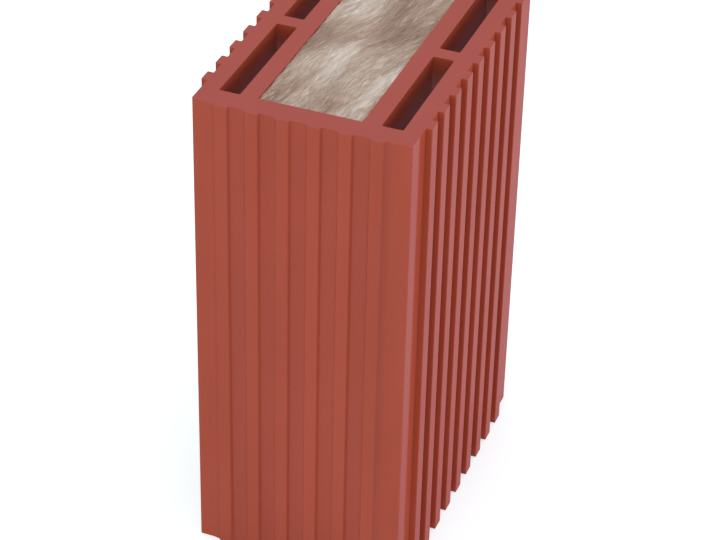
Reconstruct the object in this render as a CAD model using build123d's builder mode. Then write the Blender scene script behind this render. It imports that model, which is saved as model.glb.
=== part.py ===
"""Sound insulation block: one fired clay block with plaster ribs, its core filled with mineral wool.

The clay is drawn as one section, as the extruder's die shapes it, and pushed up to the cut height.
Z is up, X runs through the wall, Y along it. The middle of the underside is the origin.
"""
import os

from build123d import *

os.makedirs("parts", exist_ok=True)

# Overall sizes of the fired block
block_width = 131.0  # X, over the plaster ribs
block_length = 200.0  # Y, over the joint ribs
block_height = 300.0  # Z, the length cut off by the wire

# Deep, square plaster ribs on both long faces
key_count = 9
key_pitch = 18.4
key_width = 8.6
key_depth = 3.5

# Shallow joint ribs on both ends: a gentle ramp, a step, a flat tip and a steep flank
joint_count = 6
joint_pitch = 17.6
joint_depth = 2.0
joint_tip_left = -4.6  # X of the tip's two edges, from the rib's place in the row
joint_tip_right = 2.4
joint_ramp = 4.2
joint_ramp_rise = 0.8
joint_step = 0.4
joint_flank = 1.4

# Walls of the section, measured from the ground of the ribs
face_wall = 10.0
inner_wall = 10.4
end_wall = 13.2
slot_width = 12.1
web_wall = 9.6
web_y = -1.8  # the web stands a little forward of the middle

# Edges worn round by the die
corner_radius = 1.2
rib_radius = 0.5
joint_radius = 0.8
hollow_radius = 1.0

# The wool is a loose fit and lies a little below the top
wool_clearance = 0.3
wool_setback = 1.0

# Worked out from the sizes above
ground_width = block_width - 2 * key_depth
ground_length = block_length - 2 * joint_depth
core_width = ground_width - 2 * (face_wall + slot_width + inner_wall)
core_length = ground_length - 2 * end_wall
slot_x = ground_width / 2 - face_wall - slot_width / 2
front_slot_length = (core_length - web_wall) / 2 + web_y
back_slot_length = (core_length - web_wall) / 2 - web_y
joint_rib = (
    (joint_tip_left - joint_step - joint_ramp, -1.0),
    (joint_tip_left - joint_step - joint_ramp, 0.0),
    (joint_tip_left - joint_step, joint_ramp_rise),
    (joint_tip_left, joint_depth),
    (joint_tip_right, joint_depth),
    (joint_tip_right + joint_flank, 0.0),
    (joint_tip_right + joint_flank, -1.0),
)

# Fired clay block
with BuildPart() as clay_block:
    with BuildSketch(Plane.XY) as section:
        RectangleRounded(ground_width, ground_length, corner_radius)
        with GridLocations(ground_width, key_pitch, 2, key_count):
            Rectangle(2 * key_depth, key_width)
        key_tips = section.vertices().group_by(Axis.X)[0] + section.vertices().group_by(Axis.X)[-1]
        fillet(key_tips, rib_radius)
        for side in (-1, 1):
            with Locations((0, side * ground_length / 2)):
                with GridLocations(joint_pitch, 0, joint_count, 1):
                    Polygon(*[(x, side * y) for x, y in joint_rib], align=None)
        joint_edges = section.vertices().filter_by(
            lambda corner: abs(corner.Y) > ground_length / 2 - 0.01
            and abs(corner.X) < joint_count * joint_pitch / 2 + 1
        )
        fillet(joint_edges, joint_radius)
        RectangleRounded(core_width, core_length, hollow_radius, mode=Mode.SUBTRACT)
        for side, slot_length in ((-1, front_slot_length), (1, back_slot_length)):
            with Locations((0, web_y + side * (web_wall + slot_length) / 2)):
                with GridLocations(2 * slot_x, 0, 2, 1):
                    RectangleRounded(slot_width, slot_length, hollow_radius, mode=Mode.SUBTRACT)
    extrude(amount=block_height)

clay_block.part.label = "clay_block"
export_step(clay_block.part, "parts/clay_block.step")

# Mineral wool pushed into the core
with BuildPart() as mineral_wool:
    with BuildSketch(Plane.XY):
        RectangleRounded(
            core_width - 2 * wool_clearance,
            core_length - 2 * wool_clearance,
            hollow_radius,
        )
    extrude(amount=block_height - wool_setback)

mineral_wool.part.label = "mineral_wool"
export_step(mineral_wool.part, "parts/mineral_wool.step")
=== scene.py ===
"""Looks of a sound insulation block: fired clay with upright ribs, its core filled with mineral wool."""

import math

import bpy
from mathutils import Matrix, Vector


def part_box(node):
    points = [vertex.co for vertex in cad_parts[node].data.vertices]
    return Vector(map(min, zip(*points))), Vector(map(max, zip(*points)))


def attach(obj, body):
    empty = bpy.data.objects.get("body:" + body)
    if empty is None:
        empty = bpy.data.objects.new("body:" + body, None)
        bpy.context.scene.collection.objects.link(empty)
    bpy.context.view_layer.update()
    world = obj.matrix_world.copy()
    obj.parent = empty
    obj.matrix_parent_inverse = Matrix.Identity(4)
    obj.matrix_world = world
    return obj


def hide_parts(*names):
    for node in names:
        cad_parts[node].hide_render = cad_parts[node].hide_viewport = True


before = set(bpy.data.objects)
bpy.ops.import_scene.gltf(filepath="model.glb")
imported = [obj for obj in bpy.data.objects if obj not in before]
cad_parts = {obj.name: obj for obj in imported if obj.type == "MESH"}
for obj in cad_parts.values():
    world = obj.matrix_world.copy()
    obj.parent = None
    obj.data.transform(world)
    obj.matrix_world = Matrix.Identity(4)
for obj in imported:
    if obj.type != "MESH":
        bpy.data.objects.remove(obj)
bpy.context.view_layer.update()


# Fired clay block. A column of red clay leaves the die, so its sides carry fine upright drag lines,
# and a wire cuts it to height, so its ends are rougher and paler, and a painted sheen makes them
# pinker. Firing leaves a thin smooth sheen on the sides, and handling rubs the cut edges.

class Wire:
    """One output of a node tree. Sums of wires and numbers add Math nodes to the tree."""

    def __init__(self, graph, socket):
        self.graph = graph
        self.socket = socket

    def math(self, operation, *others):
        values = dict(enumerate((self,) + others))
        return self.graph.make("ShaderNodeMath", {"operation": operation}, values)

    def __add__(self, other):
        return self.math("ADD", other)

    def __sub__(self, other):
        return self.math("SUBTRACT", other)

    def __rsub__(self, other):
        return self.graph.make("ShaderNodeMath", {"operation": "SUBTRACT"}, {0: other, 1: self})

    def __mul__(self, other):
        return self.math("MULTIPLY", other)

    __radd__ = __add__
    __rmul__ = __mul__


class Graph:
    """A node tree in the making, of a material, the world or a geometry modifier."""

    def __init__(self, tree):
        self.tree = tree
        tree.nodes.clear()

    def make(self, kind, settings=None, inputs=None, output=0):
        """Adds one node, sets it, feeds its sockets, and gives back the output asked for."""
        node = self.tree.nodes.new(kind)
        for name, value in (settings or {}).items():
            if name == "stops":
                ramp = node.color_ramp.elements
                while len(ramp) < len(value):
                    ramp.new(0.5)
                for element, (place, colour) in zip(ramp, value):
                    element.position = place
                    element.color = colour
            else:
                setattr(node, name, value)
        for name, value in (inputs or {}).items():
            if isinstance(value, Wire):
                self.tree.links.new(value.socket, node.inputs[name])
            else:
                node.inputs[name].default_value = value
        return Wire(self, node.outputs[output]) if node.outputs else None

    def mix(self, factor, first, second):
        """The first colour where the factor is 0, the second where it is 1."""
        return self.make("ShaderNodeMix", {"data_type": "RGBA"}, {0: factor, 6: first, 7: second}, 2)

    def vector(self, operation, first, second):
        """Vector Math on two vectors."""
        return self.make("ShaderNodeVectorMath", {"operation": operation}, {0: first, 1: second})

    def part(self, vector, axis):
        """One part of a vector, as a number."""
        return self.make("ShaderNodeSeparateXYZ", None, {0: vector}, axis)

    def noise(self, vector, scale, detail=2.0, roughness=0.5, drawn_out=None):
        """Noise of about 0 to 1, drawn out along the axes where drawn_out is under 1."""
        if drawn_out:
            vector = self.vector("MULTIPLY", vector, drawn_out)
        inputs = {"Vector": vector, "Scale": scale, "Detail": detail, "Roughness": roughness}
        return self.make("ShaderNodeTexNoise", None, inputs)

    def ramp(self, value, start, end):
        """0 up to the start, 1 from the end, and smooth between. The start may be the greater."""
        settings = {"interpolation_type": "SMOOTHSTEP"}
        return self.make("ShaderNodeMapRange", settings, {0: value, 1: start, 2: end})


def new_material(name):
    material = bpy.data.materials.new(name)
    material.use_nodes = True
    return material, Graph(material.node_tree)


def linear(red, green, blue):
    """A colour given in 0 to 255, as it is seen, in the linear values that a shader takes."""
    return tuple(((c / 255 + 0.055) / 1.055) ** 2.4 for c in (red, green, blue)) + (1.0,)


across, along, upright = 0, 1, 2  # X through the wall, Y along it, Z up
block_low, block_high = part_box("clay_block")
block_middle = (block_low + block_high) / 2


def from_face(graph, place, axis):
    """How far a place lies in from the nearer of the block's two faces on one axis."""
    half = (block_high - block_low)[axis] / 2
    return half - (graph.part(place, axis) - block_middle[axis]).math("ABSOLUTE")


def clay_material():
    material, graph = new_material("fired_clay")
    place = graph.make("ShaderNodeTexCoord", output="Object")
    normal = graph.make("ShaderNodeNewGeometry", output="Normal")
    cut = graph.ramp(graph.part(normal, upright).math("ABSOLUTE"), 0.55, 0.9)
    drawn = 1 - cut

    # Drag lines of the die on the sides, scratches of the wire on the cut ends
    fine_drag = graph.noise(place, 950.0, detail=3.0, roughness=0.6, drawn_out=(1.0, 1.0, 0.006))
    broad_drag = graph.noise(place, 210.0, drawn_out=(1.0, 1.0, 0.02))
    wire_marks = graph.noise(place, 620.0, detail=3.0, roughness=0.6, drawn_out=(1.0, 0.07, 1.0))
    lines = (fine_drag * 0.6 + broad_drag * 0.4) * drawn + wire_marks * cut
    grain = graph.noise(place, 1500.0, detail=3.0, roughness=0.65)
    pores = graph.ramp(graph.noise(place, 620.0), 0.66, 0.74)
    dents = graph.noise(place, 60.0)

    # Clouds from the firing
    clouds = graph.noise(place, 30.0, detail=3.0, drawn_out=(1.0, 1.0, 0.25))
    colour = graph.mix(graph.ramp(clouds, 0.3, 0.7), linear(158, 72, 49), linear(164, 76, 54))

    # Where a place is on the block: by a cut edge, on a slot's walls, or between the joint ribs
    arris_width = 0.0008
    skin = 0.008  # slots and core all lie further in than this
    slot_mouth, slot_depth = 0.003, 0.024  # the painted reflection on the slots' walls changes between these depths
    rib_tip, rib_foot = 0.0002, 0.0016  # the joint ribs' faces, in from their tips
    strip_end, first_rib = 0.0145, 0.0155  # the plain strip beside the joint ribs ends between these
    from_side = from_face(graph, place, across)
    from_joint = from_face(graph, place, along)
    from_cut = from_face(graph, place, upright)
    patchy = graph.ramp(graph.noise(place, 160.0, detail=3.0), 0.35, 0.6)
    rubbed = graph.ramp(from_cut, arris_width, arris_width / 3) * drawn * patchy
    inside = graph.ramp(from_side, skin, skin + 0.001) * graph.ramp(from_joint, skin, skin + 0.002)
    deep = graph.ramp(from_cut, slot_mouth, slot_depth)
    # Painted shade on the ground between the joint ribs
    recess_painted_shade = graph.ramp(from_joint, rib_tip, rib_foot) * graph.ramp(from_side, strip_end, first_rib)
    recess_painted_shade = recess_painted_shade * (1 - inside)

    # Tints over the clouds, some of them painted light, each by its mask and its share
    # Painted reflection: the slots' walls turn paler and greyer further down
    slot_painted_reflection = graph.mix(deep, linear(148, 70, 46), linear(214, 160, 158))
    for share, tint in (
        (graph.ramp(lines, 0.4, 0.7) * 0.2, linear(170, 70, 44)),  # drag lines
        (graph.ramp(grain, 0.6, 0.8) * 0.15, linear(176, 82, 56)),  # sandy grains
        (pores * 0.25, linear(104, 40, 26)),  # dark specks of ore
        (cut * 0.42, linear(183, 106, 100)),  # cut ends, paler from the wire and pinker from a painted sheen
        (rubbed * 0.12, linear(196, 120, 98)),  # rubbed edges
        (inside * drawn * (deep * 0.6 + 0.3), slot_painted_reflection),  # painted reflection on the slots' walls, redder at the mouth and greyer and paler below
        (recess_painted_shade * drawn * 0.12, linear(128, 60, 50)),  # painted shade on the ground between the joint ribs
    ):
        colour = graph.mix(share, colour, tint)

    height = lines * 0.5 + grain * 0.35 - pores * 0.8 + dents * 0.8
    bump = graph.make("ShaderNodeBump", None, {"Strength": 0.35, "Distance": 0.0004, "Height": height})
    side_sheen, end_sheen = 0.3, 0.05
    shader = graph.make("ShaderNodeBsdfPrincipled", None, {
        "Base Color": colour, "Roughness": 0.6, "Normal": bump, "Specular IOR Level": 0.0,
        "Coat Weight": drawn * (side_sheen - end_sheen) + end_sheen, "Coat Roughness": 0.1})
    graph.make("ShaderNodeOutputMaterial", None, {"Surface": shader})
    return material


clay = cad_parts["clay_block"]
clay.data.materials.clear()
clay.data.materials.append(clay_material())


# Mineral wool. A batt of spun stone fibre, cut to the core's size and pushed in from the top. Its
# fibres lie in wandering locks along the block, in greys and beiges, with loose ones at the ends.

wool_low, wool_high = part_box("mineral_wool")
wool_size = wool_high - wool_low
lie = math.radians(14)  # the fibres' slant from the block's length
wander_scale = 16.0
wander_reach = 0.02


def swirl(graph, vector, scale, reach):
    """A push to each side by a noise, of up to about half the reach."""
    push = graph.make("ShaderNodeTexNoise", None, {"Vector": vector, "Scale": scale}, "Color")
    return graph.vector("MULTIPLY", graph.vector("SUBTRACT", push, (0.5, 0.5, 0.5)), reach)


def fibre_flow(graph, flat):
    """A flat place in the batt, turned and bent so that the fibres' way becomes straight Y."""
    turned = graph.make("ShaderNodeVectorRotate", {"rotation_type": "Z_AXIS"}, {
        "Vector": flat, "Angle": lie})
    bend = swirl(graph, flat, wander_scale, (wander_reach, wander_reach, 0.0))
    return graph.vector("ADD", turned, bend)


def wool_material():
    material, graph = new_material("mineral_wool")
    place = graph.make("ShaderNodeTexCoord", output="Object")
    tone = graph.make("ShaderNodeAttribute", {"attribute_name": "tone"}, output="Fac")
    flow = fibre_flow(graph, graph.vector("MULTIPLY", place, (1.0, 1.0, 0.0)))
    patches = graph.noise(flow, 36.0, detail=1.0, drawn_out=(1.0, 0.35, 1.0))
    locks = graph.noise(flow, 250.0, detail=3.0, roughness=0.6, drawn_out=(1.0, 0.12, 1.0))
    strands = graph.noise(flow, 900.0, roughness=0.6, drawn_out=(1.0, 0.06, 1.0))
    shade = patches + locks * 0.36 + strands * 0.15 + (tone - 0.5) * 0.26 - 0.27

    # From brown shade between the locks to nearly white fibres
    colour = graph.make("ShaderNodeValToRGB", {"stops": [
        (0.3, linear(164, 136, 113)), (0.4, linear(186, 159, 134)),
        (0.5, linear(201, 178, 151)), (0.6, linear(219, 202, 178)),
        (0.72, linear(238, 228, 209))]}, {0: shade})
    bump = graph.make("ShaderNodeBump", None, {
        "Strength": 0.4, "Distance": 0.0006, "Height": locks + strands * 0.6})
    shader = graph.make("ShaderNodeBsdfPrincipled", None, {
        "Base Color": colour, "Roughness": 0.9, "Normal": bump, "Specular IOR Level": 0.2,
        "Sheen Weight": 0.15, "Sheen Roughness": 0.6})
    graph.make("ShaderNodeOutputMaterial", None, {"Surface": shader})
    return material


def wool_tree(material):
    """Geometry Nodes for the batt: a finely divided block with locks on its top, and loose fibres."""
    tree = bpy.data.node_groups.new("wool_batt", "GeometryNodeTree")
    graph = Graph(tree)
    interface = tree.interface
    interface.new_socket("Geometry", in_out="OUTPUT", socket_type="NodeSocketGeometry")
    names = {}
    for name, kind in (("Size", "NodeSocketVector"), ("Middle", "NodeSocketVector"),
                       ("Lock Height", "NodeSocketFloat"), ("Fibre Length", "NodeSocketFloat"),
                       ("Fibre Radius", "NodeSocketFloat"), ("Fibre Density", "NodeSocketFloat"),
                       ("Seed", "NodeSocketInt")):
        names[name] = interface.new_socket(name, in_out="INPUT", socket_type=kind).identifier
    entry = tree.nodes.new("NodeGroupInput")
    given = {name: Wire(graph, entry.outputs[name]) for name in names}
    position = graph.make("GeometryNodeInputPosition")
    flat = graph.vector("MULTIPLY", position, (1.0, 1.0, 0.0))

    # The block, whose top rises and falls with the locks by up to their height
    cell = 0.0012
    lock_middle = 0.55
    block = graph.make("GeometryNodeMeshCube", None, {
        "Size": given["Size"], "Vertices X": int(wool_size.x / cell),
        "Vertices Y": int(wool_size.y / cell), "Vertices Z": 6})
    block = graph.make("GeometryNodeTransform", None, {"Geometry": block, "Translation": given["Middle"]})
    locks = graph.noise(fibre_flow(graph, flat), 140.0, detail=3.0, drawn_out=(1.0, 0.14, 1.0))
    height = (locks - lock_middle) * given["Lock Height"] * 2.0
    facing_up = graph.part(graph.make("GeometryNodeInputNormal"), upright).math("MAXIMUM", 0.0)
    lift = graph.make("ShaderNodeCombineXYZ", None, {upright: height * facing_up})
    block = graph.make("GeometryNodeSetPosition", None, {"Geometry": block, "Offset": lift})
    block = graph.make("GeometryNodeStoreNamedAttribute", {"data_type": "FLOAT", "domain": "POINT"},
                       {"Geometry": block, "Name": "tone", "Value": 0.5})
    block = graph.make("GeometryNodeSetShadeSmooth", None, {"Geometry": block})

    def random_number(low, high, seed):
        """A number of its own for each fibre."""
        return graph.make("FunctionNodeRandomValue", {"data_type": "FLOAT"}, {
            2: low, 3: high, "Seed": seed}, 1)

    def within(half, coordinate):
        return coordinate.math("MINIMUM", half).math("MAXIMUM", half * -1.0)

    # Loose fibres on both ends: points on a flat field, a short line on each, bent and then lifted
    field = graph.make("GeometryNodeMeshGrid", None, {
        "Size X": graph.part(given["Size"], across), "Size Y": graph.part(given["Size"], along),
        "Vertices X": 2, "Vertices Y": 2})
    half_x, half_y, half_z = (graph.part(given["Size"], axis) * 0.5 for axis in (across, along, upright))
    tilt, spread = 0.04, 0.3  # the most that a fibre turns out of level and out of its slant
    shortest, longest = 0.35, 1.3
    darkest, palest = 0.15, 0.85
    curl_scale, curl_reach = 130.0, (0.004, 0.004, 0.0008)
    clearance = 0.0003  # of the fibres over the locks
    top, bottom = 1.0, -1.0
    pieces = [block]
    for end, share in ((top, 1.0), (bottom, 0.4)):
        points = graph.make("GeometryNodeDistributePointsOnFaces", None, {
            "Mesh": field, "Density": given["Fibre Density"] * share, "Seed": given["Seed"] + end})
        line = graph.make("GeometryNodeCurvePrimitiveLine", None, {
            "Start": (0.0, -0.5, 0.0), "End": (0.0, 0.5, 0.0)})
        line = graph.make("GeometryNodeResampleCurve", None, {"Curve": line, "Count": 9})
        turn = graph.make("FunctionNodeRandomValue", {"data_type": "FLOAT_VECTOR"}, {
            0: (-tilt, 0.0, -lie - spread), 1: (tilt, 0.0, spread - lie), "Seed": 3}, 0)
        turn = graph.make("FunctionNodeEulerToRotation", None, {0: turn})
        length = random_number(shortest, longest, seed=5) * given["Fibre Length"]
        size = graph.make("ShaderNodeCombineXYZ", None, {
            across: given["Fibre Length"], along: length, upright: given["Fibre Length"]})
        fibres = graph.make("GeometryNodeInstanceOnPoints", None, {
            "Points": points, "Instance": line, "Rotation": turn, "Scale": size})
        tone = random_number(darkest, palest, seed=7)
        fibres = graph.make("GeometryNodeStoreNamedAttribute", {"data_type": "FLOAT", "domain": "INSTANCE"},
                            {"Geometry": fibres, "Name": "tone", "Value": tone})
        fibres = graph.make("GeometryNodeRealizeInstances", None, {0: fibres})
        wander = swirl(graph, flat, wander_scale, (-wander_reach, -wander_reach, 0.0))
        curl = swirl(graph, position, curl_scale, curl_reach)
        fibres = graph.make("GeometryNodeSetPosition", None, {
            "Geometry": fibres, "Offset": graph.vector("ADD", wander, curl)})
        above_field = graph.part(position, upright) + height + clearance
        lifted = (above_field + half_z) * end + graph.part(given["Middle"], upright)
        kept = graph.make("ShaderNodeCombineXYZ", None, {
            across: within(half_x, graph.part(position, across)),
            along: within(half_y, graph.part(position, along)),
            upright: lifted.math("MAXIMUM", given["Fibre Radius"])})
        fibres = graph.make("GeometryNodeSetPosition", None, {"Geometry": fibres, "Position": kept})
        ring = graph.make("GeometryNodeCurvePrimitiveCircle", None, {
            "Resolution": 3, "Radius": given["Fibre Radius"]})
        fibres = graph.make("GeometryNodeCurveToMesh", None, {
            "Curve": fibres, "Profile Curve": ring, "Fill Caps": True})
        pieces.append(fibres)

    joined = tree.nodes.new("GeometryNodeJoinGeometry")
    for piece in pieces:
        tree.links.new(piece.socket, joined.inputs[0])
    whole = graph.make("GeometryNodeRealizeInstances", None, {0: Wire(graph, joined.outputs[0])})
    whole = graph.make("GeometryNodeSetMaterial", None, {"Geometry": whole, "Material": material})
    graph.make("NodeGroupOutput", None, {0: whole})
    return tree, names


wool = bpy.data.objects.new("mineral_wool_batt", bpy.data.meshes.new("mineral_wool_batt"))
bpy.context.scene.collection.objects.link(wool)
batt, inputs = wool_tree(wool_material())
modifier = wool.modifiers.new("batt", "NODES")
modifier.node_group = batt
for name, value in {
    "Size": wool_size, "Middle": (wool_low + wool_high) / 2, "Lock Height": 0.0008,
    "Fibre Length": 0.02, "Fibre Radius": 0.00014, "Fibre Density": 210000.0, "Seed": 4,
}.items():
    modifier[inputs[name]] = value
evaluated = wool.evaluated_get(bpy.context.evaluated_depsgraph_get())
wool_mesh = bpy.data.meshes.new_from_object(evaluated)
wool.modifiers.clear()
wool.data = wool_mesh
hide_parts("mineral_wool")
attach(wool, "root")


# Studio: a white floor that meets an even white surround, a soft lamp in front and one on the right,
# and the photograph's viewpoint.

def seen_rays(graph):
    """1 for the rays that show the studio itself, to the camera or in gloss, and 0 for its light."""
    rays = [graph.make("ShaderNodeLightPath", output=name)
            for name in ("Is Camera Ray", "Is Glossy Ray", "Is Transmission Ray")]
    return (rays[0] + rays[1] + rays[2]).math("MINIMUM", 1.0)


def floor_material():
    """Matt white, and a little brighter as it is seen, so that it meets the surround."""
    material, graph = new_material("studio_floor")
    matt = graph.make("ShaderNodeBsdfDiffuse", None, {"Color": (0.85, 0.85, 0.84, 1.0)})

    # Its glow takes the lamps' pink out of the white that the camera sees, and is mauve in the sheen
    straight = graph.make("ShaderNodeLightPath", output="Is Camera Ray")
    colour = graph.mix(straight, (0.75, 0.56, 1.0, 1.0), (0.806, 1.0, 0.922, 1.0))

    # Under the block it doesn't glow, because there it shows at the bottom of the slots
    place = graph.make("ShaderNodeTexCoord", output="Object")
    overlap = 0.01
    beside, beyond = (
        graph.part(place, axis).math("ABSOLUTE").math("GREATER_THAN", block_high[axis] - overlap)
        for axis in (across, along))
    colour = graph.mix(beside.math("MAXIMUM", beyond), (0.0, 0.0, 0.0, 1.0), colour)
    to_white = 0.441
    glow = graph.make("ShaderNodeEmission", None, {
        "Color": colour, "Strength": seen_rays(graph) * to_white})
    both = graph.make("ShaderNodeAddShader", None, {0: matt, 1: glow})
    graph.make("ShaderNodeOutputMaterial", None, {"Surface": both})
    return material


floor_reach = 8.0
floor = bpy.data.objects.new("studio_floor", bpy.data.meshes.new("studio_floor"))
floor.data.from_pydata(
    [(-floor_reach, -floor_reach, 0), (floor_reach, -floor_reach, 0),
     (floor_reach, floor_reach, 0), (-floor_reach, floor_reach, 0)], [], [(0, 1, 2, 3)])
floor.data.materials.append(floor_material())
bpy.context.scene.collection.objects.link(floor)

world = bpy.data.worlds.new("surround")
bpy.context.scene.world = world
world.use_nodes = True
surround = Graph(world.node_tree)
as_light, as_seen = 0.9, 1.02
sky = surround.make("ShaderNodeBackground", None, {
    "Color": (0.98, 0.98, 1.1, 1.0), "Strength": seen_rays(surround) * (as_seen - as_light) + as_light})
surround.make("ShaderNodeOutputWorld", None, {"Surface": sky})

for name, place, power, colour in (
    ("front_softbox", (0.25, -2.3, 0.7), 11.8, (1.0, 0.99, 0.98)),
    ("right_softbox", (2.2, 0.7, 0.7), 17.5, (0.82, 0.72, 1.0)),
):
    lamp = bpy.data.lights.new(name, "AREA")
    lamp.shape = "SQUARE"
    lamp.size = 1.6
    lamp.energy = power
    lamp.color = colour
    holder = bpy.data.objects.new(name, lamp)
    holder.location = place
    holder.rotation_euler = (block_middle - Vector(place)).to_track_quat("-Z", "Y").to_euler()
    bpy.context.scene.collection.objects.link(holder)

# The viewpoint was fitted to the block's edges in the photograph
view = bpy.data.cameras.new("photo_view")
view.sensor_width = 36.0
view.lens = 123.46
camera = bpy.data.objects.new("photo_view", view)
standpoint = (0.41456, -1.10923, 0.96711)
azimuth, pitch, roll = (math.radians(a) for a in (20.578, 34.802, 1.415))
camera.matrix_world = (
    Matrix.Translation(standpoint) @ Matrix.Rotation(azimuth, 4, "Z")
    @ Matrix.Rotation(math.pi / 2 - pitch, 4, "X") @ Matrix.Rotation(roll, 4, "Z"))
bpy.context.scene.collection.objects.link(camera)
bpy.context.scene.camera = camera
bpy.context.scene.view_settings.view_transform = "Standard"
